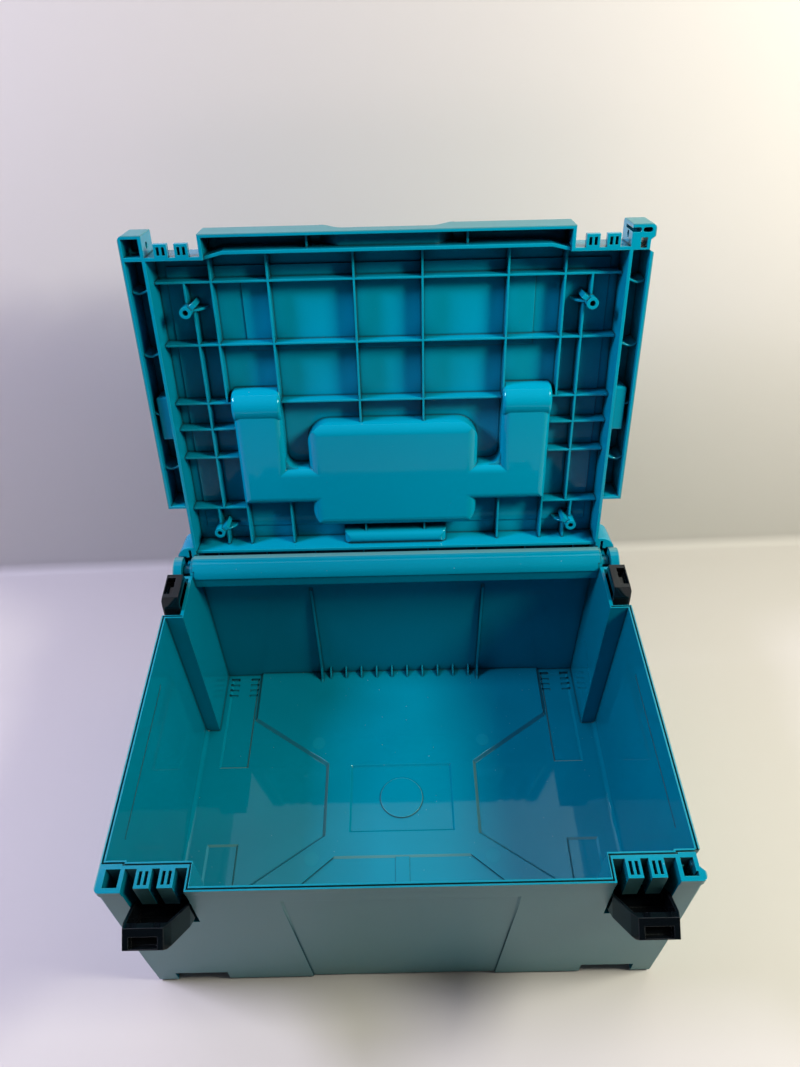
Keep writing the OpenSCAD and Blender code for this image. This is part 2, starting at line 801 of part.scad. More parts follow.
// Spaces between the walls, all open downwards
module lid_hollows() {
    low = lid_z - cut;
    skirt_end = pocket_x - pocket_w / 2 - lid_wall;
    corner_in = pocket_x + pocket_w / 2 + lid_wall;
    wall_y = notch_y + lid_wall;
    // hall inside the seal wall, and the channel over the rear edge
    box([-hall_side, wall_y, low], [hall_side, hall_rear, plate_z]);
    translate([0, 0, low]) linear_extrude(plate_z - low) seal_jog_shape(skirt_end, wall_y, cut);
    box([-hall_side, hall_rear + lid_wall, low], [hall_side, rear_y - lid_wall, plate_z]);
    // front edge, between skirt and seal wall
    difference() {
        box([-skirt_end, front_y + lid_wall, low], [skirt_end, notch_y, plate_z]);
        translate([0, 0, low - cut]) linear_extrude(plate_z - low + 2 * cut)
            seal_jog_shape(skirt_end, notch_y, cut);
    }
    // the seal wall stops a little above the rim
    box([-skirt_end, notch_y - seal_jog - cut, low], [skirt_end, wall_y + cut, wall_z]);
    box([-hall_side - cut, hall_rear - cut, low], [hall_side + cut, hall_rear + lid_wall + cut, wall_z]);
    both_sides() {
        box([channel_in, wall_y, low], [channel_out, channel_rear - lid_wall, plate_z]);
        // rear corner
        box([channel_in + lid_wall, corner_start + lid_wall, low],
            [channel_out - corner_round + 4, rear_y - lid_wall, plate_z]);
        box([channel_in + lid_wall, corner_start + corner_round - 2, low],
            [channel_out, rear_y - lid_wall, plate_z]);
    }
    // left front corner; the right one is filled for the padlock
    mirror([1, 0, 0]) box([corner_in, front_y + lid_wall, low],
                          [channel_out, notch_y - 0.5, plate_z]);
}

// Strip of rib hanging from the top plate
module lid_rib(x0, y0, x1, y1, low = rib_z) {
    lies_across = abs(x1 - x0) > abs(y1 - y0);
    half = rib_t / 2;
    if (lies_across) box([x0, y0 - half, low], [x1, y0 + half, plate_z + 0.5]);
    else box([x0 - half, y0, low], [x0 + half, y1, plate_z + 0.5]);
}

module lid_ribs() {
    front = notch_y - seal_jog + 1;
    bar_rear = grip_y + grip_w / 2 + handle_gap + bucket_wall - 1;
    // crosswise, right through in front and beside the handle recess behind
    for (i = [0 : 2]) lid_rib(-hall_side - 1, row[i], hall_side + 1, row[i]);
    both_sides() {
        for (y = [short_row, row[3], row[4]]) lid_rib(bucket_side - 2, y, hall_side + 1, y);
        // lengthwise
        lid_rib(rib_x_inner, front, rib_x_inner, well_front);
        lid_rib(rib_x_inner, well_rear, rib_x_inner, hall_rear + 1);
        lid_rib(rib_x_middle, front, rib_x_middle, handle_y - arm_end_r);
        lid_rib(rib_x_middle, bar_rear, rib_x_middle, hall_rear + 1);
        lid_rib(rib_x_outer, notch_y + 1, rib_x_outer, row[2]);
        lid_rib(bucket_side - 1, bar_rear - 8, bucket_side - 1, hall_rear + 1);
        // to and from the screw bosses
        lid_rib(boss_x, row[0], boss_x, boss_front_y);
        lid_rib(boss_x - 5, boss_front_y, boss_x - 5, row[4]);
        lid_rib(boss_x, row[4], boss_x, boss_rear_y);
        lid_rib(boss_x - 5, boss_rear_y, boss_x - 5, hall_rear + 1);
        // front edge
        lid_rib(60, front_y + 1, 60, front, lid_z + 8);
        // side channel, close behind the crosswise ribs
        for (i = [0 : 3]) channel_rib(row[i] + 2.5);
        // over the rear edge
        for (x = [30 : 45 : 165]) lid_rib(x, hall_rear + 1, x, rear_y - 1, plate_z - 6);
    }
}

// Cupped rib across a side channel: y = bulge * sin(150 t)^2, with t from 0 inside to 1 outside
module channel_rib(y) {
    bulge = 2.4;
    x0 = channel_in - 0.5;
    wide = channel_w + 1;
    line = [for (i = [0 : 10]) let (t = i / 10) [x0 + wide * t, bulge * pow(sin(150 * t), 2)]];
    back = [for (i = [10 : -1 : 0]) [line[i][0], line[i][1] + rib_t]];
    translate([0, y, lid_z + 5]) linear_extrude(plate_z + 0.5 - lid_z - 5) polygon(concat(line, back));
}

// Screw boss with a rounded gusset tab
module screw_boss(y) {
    top = plate_z + 0.5;
    translate([boss_x, y, boss_low]) cylinder(r = boss_r, h = top - boss_low);
    tab = 15;
    // small block on the tab's front side
    translate([boss_x - 5.5, y - 4.5, boss_low + 1.5]) rotate(35)
        box([-2.4, -2, 0], [2.4, 2, top - boss_low - 1.5]);
    intersection() {
        box([boss_x - tab, y - 0.9, boss_low + 1.5], [boss_x, y + 0.9, top]);
        union() {
            translate([boss_x - tab, y, top]) rotate([90, 0, 0]) cylinder(r = 0.1, h = 1);
            translate([boss_x, y + 2, top]) rotate([90, 0, 0]) cylinder(r = tab, h = 4);
        }
    }
}

// Side channels carry a raised box half-way along
module channel_box() {
    tray([channel_in - 1, -21, lid_z + 4], [channel_out - 3, 17, plate_z + 0.5], 3, 2);
}

// Rod along X with rounded ends
module soft_rod(x0, x1, y, z, r, e) {
    translate([x0, y, z]) rotate([0, 90, 0]) rotate_extrude() {
        translate([0, e]) square([r, x1 - x0 - 2 * e]);
        square([r - e, x1 - x0]);
        for (h = [e, x1 - x0 - e]) translate([r - e, h]) circle(e);
    }
}

// Shell of the handle recess, bulging into the lid
module handle_bucket() {
    arm_in = arm_x - arm_w / 2 - side_gap - cheek;
    front = handle_y - arm_end_r - handle_gap - bucket_wall;
    rear = grip_y + grip_w / 2 + handle_gap + bucket_wall;
    bar_front = grip_y - grip_w / 2 - handle_gap - bucket_wall;
    top = plate_z + 0.5;
    inner_r = 9;
    both_sides() {
        tray([arm_in, front + 6, bucket_z], [bucket_side, rear, top], 7, 7);
        // barrel over the hinge, a little proud of the arm
        intersection() {
            soft_rod(arm_in, bucket_side, handle_y, handle_z, handle_z - bucket_z + 1.8, 3);
            box([arm_in - cut, front - 4, bucket_z - 4], [bucket_side + cut, handle_y + 20, top]);
        }
        // rounded inner corner between arm and bar
        difference() {
            box([arm_in - inner_r, bar_front - inner_r, bucket_z + 4], [arm_in + 3, bar_front + 3, top]);
            translate([arm_in - inner_r, bar_front - inner_r, bucket_z]) cylinder(r = inner_r, h = 40);
        }
    }
    tray([-bucket_side, bar_front, bucket_z], [bucket_side, rear, top], 14, 7);
    tray([-well_half - bucket_wall, well_front - bucket_wall, bucket_z],
         [well_half + bucket_wall, well_rear + bucket_wall, top], 19, 9.5);
    // dish beside the hinge
    tray([-46, hall_rear - 12, bucket_z + 3], [46, hall_rear + lid_wall, top], 14, 7);
}

module handle_recess() {
    arm_in = arm_x - arm_w / 2 - side_gap;
    arm_out = arm_x + arm_w / 2 + side_gap;
    front = handle_y - arm_end_r - handle_gap;
    rear = grip_y + grip_w / 2 + handle_gap;
    both_sides() {
        box([arm_in, handle_y, recess_z], [arm_out, rear - 6, top_z + cut]);
        intersection() {
            x_rod(arm_in, arm_out, handle_y, handle_z, handle_z - recess_z);
            box([arm_in, front, recess_z], [arm_out, handle_y + cut, top_z + cut]);
        }
        box([arm_in, front, handle_z], [arm_out, handle_y + cut, top_z + cut]);
        x_rod(arm_in - 3.1, arm_out + 3.1, handle_y, handle_z, handle_stub_r + running);
    }
    tray([-arm_out, grip_y - grip_w / 2 - handle_gap, recess_z], [arm_out, rear, top_z + cut], 6, 3);
    tray([-well_half, well_front, recess_z], [well_half, well_rear, top_z + cut], 17, 5);
    tray([-43, hall_rear - 9.5, recess_z + 3], [43, hall_rear + 0.3, top_z + cut], 11, 4.5);
}

// Finger scoop in the front edge, with a flat floor and flowing ends:
// the height runs as (1 - cos(180 t)) / 2, with t from the floor's end to the shoulder
module scoop(grow, y0, y1, z1) {
    flat = scoop_w / 2 - 10 + grow;
    end = 20;
    low = top_z - scoop_h + 2.5 - grow;
    high = top_z - low;
    right = [for (i = [0 : 10]) let (t = i / 10) [flat + end * t, low + high * (1 - cos(180 * t)) / 2]];
    left = [for (i = [10 : -1 : 0]) [-right[i][0], right[i][1]]];
    intersection() {
        along_y(y0, y1) polygon(concat(right, [[flat + end, z1 + cut], [-flat - end, z1 + cut]], left));
        box([-flat - end - cut, y0, low - cut], [flat + end + cut, y1, z1]);
    }
}

module padlock_holes() {
    low = lid_z - cut;
    slot_x = side_x - 10.5;
    // two blind slots and one right through
    for (x = [side_x - 14.5, side_x - 6.3])
        translate([x, front_y + 4.4, low]) {
            for (s = [-1, 1]) translate([s * 1.8, 0, 0]) cylinder(r = 1.7, h = 20);
            box([-1.8, -1.7, 0], [1.8, 1.7, 20]);
        }
    box([slot_x, front_y + 9.9, low], [slot_x + 4.8, front_y + 17.2, top_z + cut]);
    // waist in the side, where the shackle passes
    translate([side_x, front_y + 9, low]) linear_extrude(lid_h)
        polygon([[cut, -1], [-3.2, 2.4], [-3.2, 10], [cut, 12]]);
}

module knuckle() {
    x0 = slot_in + side_gap;
    x1 = slot_out - side_gap;
    x_rod(x0, x1, axis_y, axis_z, knuckle_r);
    box([x0, axis_y - 3.5, axis_z], [x1, axis_y + 3.5, plate_z + 0.5]);
}

// The knuckle is a jaw that snaps over the pin
module knuckle_bore() {
    x0 = slot_in + side_gap - cut;
    x1 = slot_out - side_gap + cut;
    x_rod(x0, x1, axis_y, axis_z, pin_r + running);
    box([x0, axis_y - pin_r * 0.8, axis_z - knuckle_r - cut], [x1, axis_y + pin_r * 0.8, axis_z]);
}

// Room for the rounded rear edge and for the ears
module hinge_sweep() {
    x_rod(-slot_in - 0.35, slot_in + 0.35, axis_y, axis_z, roll_r + lid_sweep);
    both_sides() x_rod(slot_out - 0.35, side_x + cut, axis_y, axis_z, ear_r + lid_sweep);
}

module foot_dents() {
    x = side_x - 3.6 - foot_w;
    mirror([1, 0, 0]) box([x, front_y + 2.4, top_z - 1],
                          [x + foot_w + 1.2, front_y + 3.6 + foot_l, top_z + cut]);
    both_sides() box([x, rear_y - 3.6 - foot_l, top_z - 1], [x + foot_w + 1.2, rear_y - 2.4, top_z + cut]);
}

module lid_closed() {
    panel = 172;
    difference() {
        union() {
            difference() {
                lid_blank();
                lid_hollows();
            }
            lid_ribs();
            box([-panel, row[0] - 9.5, plate_z - panel_step], [panel, hall_rear - 13, plate_z + 0.5]);
            box([-115, row[0], plate_z - panel_step - 1], [115, row[1] + 8, plate_z]);
            both_sides() {
                screw_boss(boss_front_y);
                screw_boss(boss_rear_y);
                channel_box();
                translate([pocket_x, notch_y, 0])
                    comb_pair(lid_z, lid_z + lid_comb_h, lid_z - cut, lid_z + lid_comb_h - 1,
                              lid_comb_reach);
            }
            handle_bucket();
            scoop(2.5, front_y, notch_y - seal_jog + 1, plate_z + 0.5);
            both_sides() knuckle();
        }
        box([-panel, row[0] - 9.5, top_z - panel_step], [panel, hall_rear - 13, top_z + cut]);
        handle_recess();
        scoop(0, front_y - cut, notch_y - seal_jog - 1.5, top_z + cut);
        both_sides() {
            knuckle_bore();
            for (y = [boss_front_y, boss_rear_y])
                translate([boss_x, y, boss_low - cut]) cylinder(r = boss_hole_r, h = 16);
            // oval hole from the corner block into the latch notch
            x_rod(pocket_x + pocket_w / 2 - cut, pocket_x + pocket_w / 2 + lid_wall + cut,
                  front_y + 9, lid_z + 12, 2.6);
        }
        hinge_sweep();
        padlock_holes();
        foot_dents();
    }
}

// Turns the closed lid about its hinge axis to where it stands open
module opened() {
    translate([0, axis_y, axis_z]) rotate([-lid_open, 0, 0]) translate([0, -axis_y, -axis_z]) children();
}

module lid() {
    color(shell_colour) opened() lid_closed();
}

// ---- Handle, drawn folded into the closed lid ----

module handle_shape() {
    high = handle_z + arm_end_r;
    low = high - handle_t;
    rear = grip_y + grip_w / 2;
    outer = handle_w / 2;
    difference() {
        union() {
            both_sides() {
                along_y(handle_y, rear) translate([arm_x, 0])
                    round_section(-arm_w / 2, arm_w / 2, low, high, 3.5);
                x_rod(arm_x - arm_w / 2, arm_x + arm_w / 2, handle_y, handle_z, arm_end_r);
                x_rod(arm_x - arm_w / 2 - 2.8, arm_x + arm_w / 2 + 2.8, handle_y, handle_z, handle_stub_r);
            }
            along_x(-outer, outer) translate([grip_y, 0])
                round_section(-grip_w / 2, grip_w / 2, low, high, 6);
        }
        // trimmed outer corners of the U
        both_sides() translate([outer, rear, low - cut]) linear_extrude(handle_t + 2 * cut)
            polygon([[cut, cut], [-9, cut], [-2.6, -2.6], [cut, -9]]);
        // hollow underside of the arms
        both_sides() box([arm_x - arm_w / 2 + 3, handle_y + 12, low - cut],
                         [arm_x + arm_w / 2 - 3, grip_y - grip_w / 2 - 2, high - 3]);
    }
    // web inside each hollow arm
    both_sides() box([arm_x - 0.9, handle_y + 11, low + 1],
                     [arm_x + 0.9, grip_y - grip_w / 2 - 1, high - 2]);
}

module round_section(a0, a1, z0, z1, r) {
    translate([a0 + r, z0]) square([a1 - a0 - 2 * r, z1 - z0]);
    translate([a0, z0 + r]) square([a1 - a0, z1 - z0 - 2 * r]);
    for (a = [a0 + r, a1 - r], z = [z0 + r, z1 - r]) translate([a, z]) circle(r);
}

module handle() {
    color(black) opened() handle_shape();
}

// ---- Latch, drawn upright: hinge axis along X through the origin, outside towards -y ----

module latch_front_view(inset) {
    half = latch_w / 2 - inset;
    polygon([[-half, -pivot_rise], [half, -pivot_rise], [half, shoulder_v],
             [waist_w / 2 - inset, waist_v], [latch_tip_w / 2 - inset, latch_len + cut],
             [inset - latch_tip_w / 2, latch_len + cut], [inset - waist_w / 2, waist_v],
             [-half, shoulder_v]]);
}

module latch_shape() {
    half = latch_w / 2;
    difference() {
        union() {
            intersection() {
                // side view: outer plate, full-depth cheeks, rounded heel
                along_x(-half, half)
                    polygon([[-latch_out + 4, -7.5], [-latch_out, -4.5], [-latch_out, latch_len - 4],
                             [-latch_out + 1.2, latch_len], [-latch_in, latch_len],
                             [-latch_in, shoulder_v], [-latch_in - 1, -2], [0, -4.8]]);
                along_y(-latch_out - cut, pocket_depth) latch_front_view(0);
            }
            x_rod(-half, half, 0, 0, 4.8);
        }
        // hollow behind the outer plate, below the hook
        intersection() {
            along_x(-half, half)
                polygon([[-latch_out + latch_wall, 7], [-latch_out + latch_wall, hook_v],
                         [-latch_in + cut, hook_v], [-latch_in + cut, 5.5]]);
            along_y(-latch_out, pocket_depth) latch_front_view(latch_wall);
        }
        // finger grip in the top
        box([-9, -latch_out + 2, latch_len - 6], [9, -0.4, latch_len + cut]);
    }
    x_rod(-half - latch_gap - stub_bite, half + latch_gap + stub_bite, 0, 0, stub_r);
}

module front_latch(side) {
    translate([side * pocket_x, front_pivot_y, pivot_z]) rotate([latch_open, 0, 0]) latch_shape();
}

module side_latch(side) {
    translate([side * side_pivot_x, side_pocket_y, pivot_z]) rotate(side * 90) latch_shape();
}

module latch_front_left() { color(black) front_latch(-1); }
module latch_front_right() { color(black) front_latch(1); }
module latch_side_left() { color(black) side_latch(-1); }
module latch_side_right() { color(black) side_latch(1); }

tub();
lid();
handle();
latch_front_left();
latch_front_right();
latch_side_left();
latch_side_right();
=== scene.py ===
# Open hard tool case: finishes for its mouldings, studio sweep, lamps and camera
import math

import bpy
import numpy as np
from mathutils import Matrix, Vector

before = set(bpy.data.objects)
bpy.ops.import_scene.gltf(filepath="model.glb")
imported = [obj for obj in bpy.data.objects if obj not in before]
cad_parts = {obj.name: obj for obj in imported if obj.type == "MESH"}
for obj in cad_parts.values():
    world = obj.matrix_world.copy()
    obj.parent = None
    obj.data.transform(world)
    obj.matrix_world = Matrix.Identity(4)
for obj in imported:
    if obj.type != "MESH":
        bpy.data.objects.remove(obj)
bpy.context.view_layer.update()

print("frame loaded:", len(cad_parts), "nodes")


# small helpers for building node trees
def addNode(tree, kind, place=(0, 0), **settings):
    node = tree.nodes.new(kind)
    node.location = place
    for key, value in settings.items():
        setattr(node, key, value)
    return node


def feed(tree, source, target):
    # source is a socket or a plain value
    if isinstance(source, bpy.types.NodeSocket):
        tree.links.new(source, target)
    else:
        target.default_value = source


def mathNode(tree, operation, first, second=0.0, third=0.0, clamp=False):
    node = addNode(tree, "ShaderNodeMath", operation=operation, use_clamp=clamp)
    feed(tree, first, node.inputs[0])
    feed(tree, second, node.inputs[1])
    feed(tree, third, node.inputs[2])
    return node.outputs[0]


def stepNode(tree, value, low, high, toLow=0.0, toHigh=1.0):
    # smooth ramp of value from low..high to toLow..toHigh
    node = addNode(tree, "ShaderNodeMapRange", interpolation_type="SMOOTHSTEP")
    for source, target in zip((value, low, high, toLow, toHigh), node.inputs):
        feed(tree, source, target)
    return node.outputs[0]


def newGroup(name, inputs, outputs):
    group = bpy.data.node_groups.new(name, "ShaderNodeTree")
    for label, value in inputs.items():
        kind = "NodeSocketVector" if isinstance(value, tuple) else "NodeSocketFloat"
        socket = group.interface.new_socket(label, in_out="INPUT", socket_type=kind)
        socket.default_value = value
    for label, kind in outputs.items():
        group.interface.new_socket(label, in_out="OUTPUT", socket_type=kind)
    return group, addNode(group, "NodeGroupInput", (-900, 0)), addNode(group, "NodeGroupOutput", (900, 0))


def useGroup(tree, group, place=(0, 0), **values):
    node = addNode(tree, "ShaderNodeGroup", place, node_tree=group)
    for label, value in values.items():
        feed(tree, value, node.inputs[label])
    return node


# effects that several plastics share, each one a node group
edgeSteps = {
    "bevelSamples": 4,
    "creviceSamples": 8,
    "cavitySamples": 6,
    "turned": (0.995, 0.86),             # cosines of rounded and flat normal where the painted edge highlight starts and is full
    "patches": (0.35, 0.65, 0.5, 1.0),   # noise levels between which the painted edge highlight goes from half to full
    "edgeOpen": (0.7, 0.92),             # openness of an outer edge
    "creviceOpen": (0.97, 0.5),
    "cavityOpen": (0.72, 0.15),
}


def opennessNode(tree, place, reach, samples):
    # how open the surface is within the reach: 1 in the open, 0 deep inside
    node = addNode(tree, "ShaderNodeAmbientOcclusion", place, samples=samples, only_local=True)
    feed(tree, reach, node.inputs["Distance"])
    return node.outputs["AO"]


def makeBevelAndPaintedLight(steps):
    # rounded edge normal; Edge is 1 where it leaves the flat normal on an outer edge, a mask for a painted
    # highlight;
    # PaintedCreviceShade is 1 deep in a corner and PaintedChannelShade at the bottom of a narrow channel or
    # slot, masks for painted shade
    group, enter, leave = newGroup("bevelAndPaintedLight",
                                   {"Radius": 0.0006, "Breakup": 60.0, "Depth": 0.004, "Width": 0.014},
                                   {"Normal": "NodeSocketVector", "Edge": "NodeSocketFloat",
                                    "PaintedCreviceShade": "NodeSocketFloat", "PaintedChannelShade": "NodeSocketFloat"})
    bevel = addNode(group, "ShaderNodeBevel", (-600, 100), samples=steps["bevelSamples"])
    feed(group, enter.outputs["Radius"], bevel.inputs["Radius"])
    flat = addNode(group, "ShaderNodeNewGeometry", (-600, -100))
    dot = addNode(group, "ShaderNodeVectorMath", (-400, 0), operation="DOT_PRODUCT")
    feed(group, bevel.outputs[0], dot.inputs[0])
    feed(group, flat.outputs["Normal"], dot.inputs[1])
    turned = stepNode(group, dot.outputs["Value"], *steps["turned"])
    place = addNode(group, "ShaderNodeTexCoord", (-900, -300))
    noise = addNode(group, "ShaderNodeTexNoise", (-600, -300))
    noise.inputs["Detail"].default_value = 3.0
    feed(group, place.outputs["Object"], noise.inputs["Vector"])
    feed(group, enter.outputs["Breakup"], noise.inputs["Scale"])
    patches = stepNode(group, noise.outputs["Fac"], *steps["patches"])
    # mask of the painted edge highlight: turned edges, broken into patches
    highlit = mathNode(group, "MULTIPLY", turned, patches)
    near = opennessNode(group, (-600, -500), enter.outputs["Depth"], steps["creviceSamples"])
    far = opennessNode(group, (-600, -700), enter.outputs["Width"], steps["cavitySamples"])
    outer = stepNode(group, near, *steps["edgeOpen"])
    feed(group, bevel.outputs[0], leave.inputs["Normal"])
    feed(group, mathNode(group, "MULTIPLY", highlit, outer), leave.inputs["Edge"])
    # painted shade masks, from how open the surface is
    feed(group, stepNode(group, near, *steps["creviceOpen"]), leave.inputs["PaintedCreviceShade"])
    feed(group, stepNode(group, far, *steps["cavityOpen"]), leave.inputs["PaintedChannelShade"])
    return group


grainSteps = {
    "fineSize": 1.0,       # shares of the group's scale
    "coarseSize": 0.28,
    "detail": 4.0,
    "roughness": 0.6,
    "level": 0.66,         # brings the sum of both noises back to about 0..1
    "speck": (0.42, 0.62),
}


def makeMouldGrain(steps):
    # spark-eroded grain: two noises of different size added as heights, 0..1
    group, enter, leave = newGroup("mouldGrain", {"Scale": 900.0, "Coarse": 0.5},
                                   {"Height": "NodeSocketFloat", "Speck": "NodeSocketFloat"})
    place = addNode(group, "ShaderNodeTexCoord", (-900, -200))
    fine = addNode(group, "ShaderNodeTexNoise", (-600, 100))
    coarse = addNode(group, "ShaderNodeTexNoise", (-600, -200))
    for node, share in ((fine, steps["fineSize"]), (coarse, steps["coarseSize"])):
        node.inputs["Detail"].default_value = steps["detail"]
        node.inputs["Roughness"].default_value = steps["roughness"]
        feed(group, place.outputs["Object"], node.inputs["Vector"])
        feed(group, mathNode(group, "MULTIPLY", enter.outputs["Scale"], share), node.inputs["Scale"])
    both = mathNode(group, "MULTIPLY_ADD", coarse.outputs["Fac"], enter.outputs["Coarse"], fine.outputs["Fac"])
    feed(group, mathNode(group, "MULTIPLY", both, steps["level"]), leave.inputs["Height"])
    feed(group, stepNode(group, fine.outputs["Fac"], *steps["speck"]), leave.inputs["Speck"])
    return group


flowSteps = {
    "cloudDetail": 2.0,
    "cloudTwist": 0.8,
    "tone": (0.3, 0.7),
    "waveDetail": 1.0,
    "waveSize": 2.4,       # times the clouds' scale
}


def makeMeltFlow(steps):
    # broad, stretched clouds of tone left by the melt as it filled the mould, and slow waviness
    group, enter, leave = newGroup("meltFlow", {"Scale": 5.0, "Stretch": (1.0, 1.0, 0.35)},
                                   {"Tone": "NodeSocketFloat", "Wave": "NodeSocketFloat"})
    place = addNode(group, "ShaderNodeTexCoord", (-900, -200))
    mapping = addNode(group, "ShaderNodeMapping", (-700, -200))
    feed(group, place.outputs["Object"], mapping.inputs["Vector"])
    feed(group, enter.outputs["Stretch"], mapping.inputs["Scale"])
    cloud = addNode(group, "ShaderNodeTexNoise", (-450, 100))
    cloud.inputs["Detail"].default_value = steps["cloudDetail"]
    cloud.inputs["Distortion"].default_value = steps["cloudTwist"]
    feed(group, mapping.outputs[0], cloud.inputs["Vector"])
    feed(group, enter.outputs["Scale"], cloud.inputs["Scale"])
    wave = addNode(group, "ShaderNodeTexNoise", (-450, -200))
    wave.inputs["Detail"].default_value = steps["waveDetail"]
    feed(group, place.outputs["Object"], wave.inputs["Vector"])
    feed(group, mathNode(group, "MULTIPLY", enter.outputs["Scale"], steps["waveSize"]), wave.inputs["Scale"])
    feed(group, stepNode(group, cloud.outputs["Fac"], *steps["tone"]), leave.inputs["Tone"])
    feed(group, wave.outputs["Fac"], leave.inputs["Wave"])
    return group


dustSteps = {
    "upward": (0.1, 0.95, 0.2, 1.0),   # lint on level faces in full, on upright ones a fifth
    "speck": (0.045, 0.02),            # size of a speck as a share of the spacing
}


def makeDust(steps):
    # sparse specks of lint on faces that look up: small balls round scattered points
    group, enter, leave = newGroup("dust", {"Amount": 0.5, "Spacing": 125.0}, {"Mask": "NodeSocketFloat"})
    geometry = addNode(group, "ShaderNodeNewGeometry", (-900, 100))
    split = addNode(group, "ShaderNodeSeparateXYZ", (-700, 100))
    feed(group, geometry.outputs["Normal"], split.inputs[0])
    upward = stepNode(group, split.outputs["Z"], *steps["upward"])
    place = addNode(group, "ShaderNodeTexCoord", (-900, -200))
    points = addNode(group, "ShaderNodeTexVoronoi", (-600, -200))
    feed(group, place.outputs["Object"], points.inputs["Vector"])
    feed(group, enter.outputs["Spacing"], points.inputs["Scale"])
    speck = stepNode(group, points.outputs["Distance"], *steps["speck"])
    mask = mathNode(group, "MULTIPLY", speck, upward)
    feed(group, mathNode(group, "MULTIPLY", mask, enter.outputs["Amount"], clamp=True), leave.inputs["Mask"])
    return group


scuffSteps = {
    # turn about Z in radians and stretch of each set of scratches
    "sets": ((0.5, (1.0, 9.0, 1.4)), (-0.9, (8.0, 1.0, 1.2))),
    "tilt": (0.4, 0.3, 1.0),           # shares of the turn about X, Y and Z
    "detail": 1.0,
    "level": 0.5,                      # noise level that a scratch follows
    "width": 0.0035,
    "patchSize": 11.0,
    "patch": (0.52, 0.7),
}


def makeScuffs(steps):
    # thin scratches: narrow bands of two stretched noises, kept in patches
    group, enter, leave = newGroup("scuffs", {"Scale": 30.0, "Amount": 0.5}, {"Mask": "NodeSocketFloat"})
    place = addNode(group, "ShaderNodeTexCoord", (-1100, -200))
    lines = None
    for turn, stretch in steps["sets"]:
        mapping = addNode(group, "ShaderNodeMapping", (-900, -200))
        mapping.inputs["Rotation"].default_value = tuple(turn * share for share in steps["tilt"])
        mapping.inputs["Scale"].default_value = stretch
        feed(group, place.outputs["Object"], mapping.inputs["Vector"])
        noise = addNode(group, "ShaderNodeTexNoise", (-600, -200))
        noise.inputs["Detail"].default_value = steps["detail"]
        feed(group, mapping.outputs[0], noise.inputs["Vector"])
        feed(group, enter.outputs["Scale"], noise.inputs["Scale"])
        band = mathNode(group, "ABSOLUTE", mathNode(group, "SUBTRACT", noise.outputs["Fac"], steps["level"]))
        line = stepNode(group, band, steps["width"], 0.0)
        lines = line if lines is None else mathNode(group, "MAXIMUM", lines, line)
    patch = addNode(group, "ShaderNodeTexNoise", (-600, -500))
    patch.inputs["Scale"].default_value = steps["patchSize"]
    feed(group, place.outputs["Object"], patch.inputs["Vector"])
    kept = mathNode(group, "MULTIPLY", lines, stepNode(group, patch.outputs["Fac"], *steps["patch"]))
    feed(group, mathNode(group, "MULTIPLY", kept, enter.outputs["Amount"]), leave.inputs["Mask"])
    return group


outsideFade = 0.02


def makeOutside(fade):
    # 1 on faces that look away from Middle by more than Least, or that lie past HalfWidth or past Reach
    # along Axis; 0 on faces that look in. Middle is in object space and the normal in world space,
    # so the look-away part is right at the rest pose only
    group, enter, leave = newGroup("outside",
                                   {"Middle": (0.0, 0.0, 0.09), "Weights": (1.0, 1.0, 1.0), "Least": 0.0,
                                    "HalfWidth": 0.1968, "Axis": (0.0, 0.0, 1.0), "Reach": 9.0},
                                   {"Mask": "NodeSocketFloat"})
    place = addNode(group, "ShaderNodeTexCoord", (-900, -100))
    offset = addNode(group, "ShaderNodeVectorMath", (-700, -100), operation="SUBTRACT")
    feed(group, place.outputs["Object"], offset.inputs[0])
    feed(group, enter.outputs["Middle"], offset.inputs[1])
    weighed = addNode(group, "ShaderNodeVectorMath", (-500, -100), operation="MULTIPLY")
    feed(group, offset.outputs[0], weighed.inputs[0])
    feed(group, enter.outputs["Weights"], weighed.inputs[1])
    geometry = addNode(group, "ShaderNodeNewGeometry", (-700, 200))
    dot = addNode(group, "ShaderNodeVectorMath", (-300, 0), operation="DOT_PRODUCT")
    feed(group, weighed.outputs[0], dot.inputs[0])
    feed(group, geometry.outputs["True Normal"], dot.inputs[1])
    full = mathNode(group, "ADD", enter.outputs["Least"], fade)
    away = stepNode(group, dot.outputs["Value"], enter.outputs["Least"], full)
    split = addNode(group, "ShaderNodeSeparateXYZ", (-700, -300))
    feed(group, place.outputs["Object"], split.inputs[0])
    across = mathNode(group, "ABSOLUTE", split.outputs["X"])
    flank = mathNode(group, "GREATER_THAN", across, enter.outputs["HalfWidth"])
    along = addNode(group, "ShaderNodeVectorMath", (-500, -500), operation="DOT_PRODUCT")
    feed(group, place.outputs["Object"], along.inputs[0])
    feed(group, enter.outputs["Axis"], along.inputs[1])
    skirt = mathNode(group, "GREATER_THAN", along.outputs["Value"], enter.outputs["Reach"])
    edges = mathNode(group, "MAXIMUM", flank, skirt)
    feed(group, mathNode(group, "MAXIMUM", away, edges), leave.inputs["Mask"])
    return group


pinSteps = {
    # metres
    "edge": 0.0002,                # blur of a disc's edge
    "ringWidth": 0.0004,
    "floor": (0.0095, 0.0085),     # only what lies below is the tub's floor
}


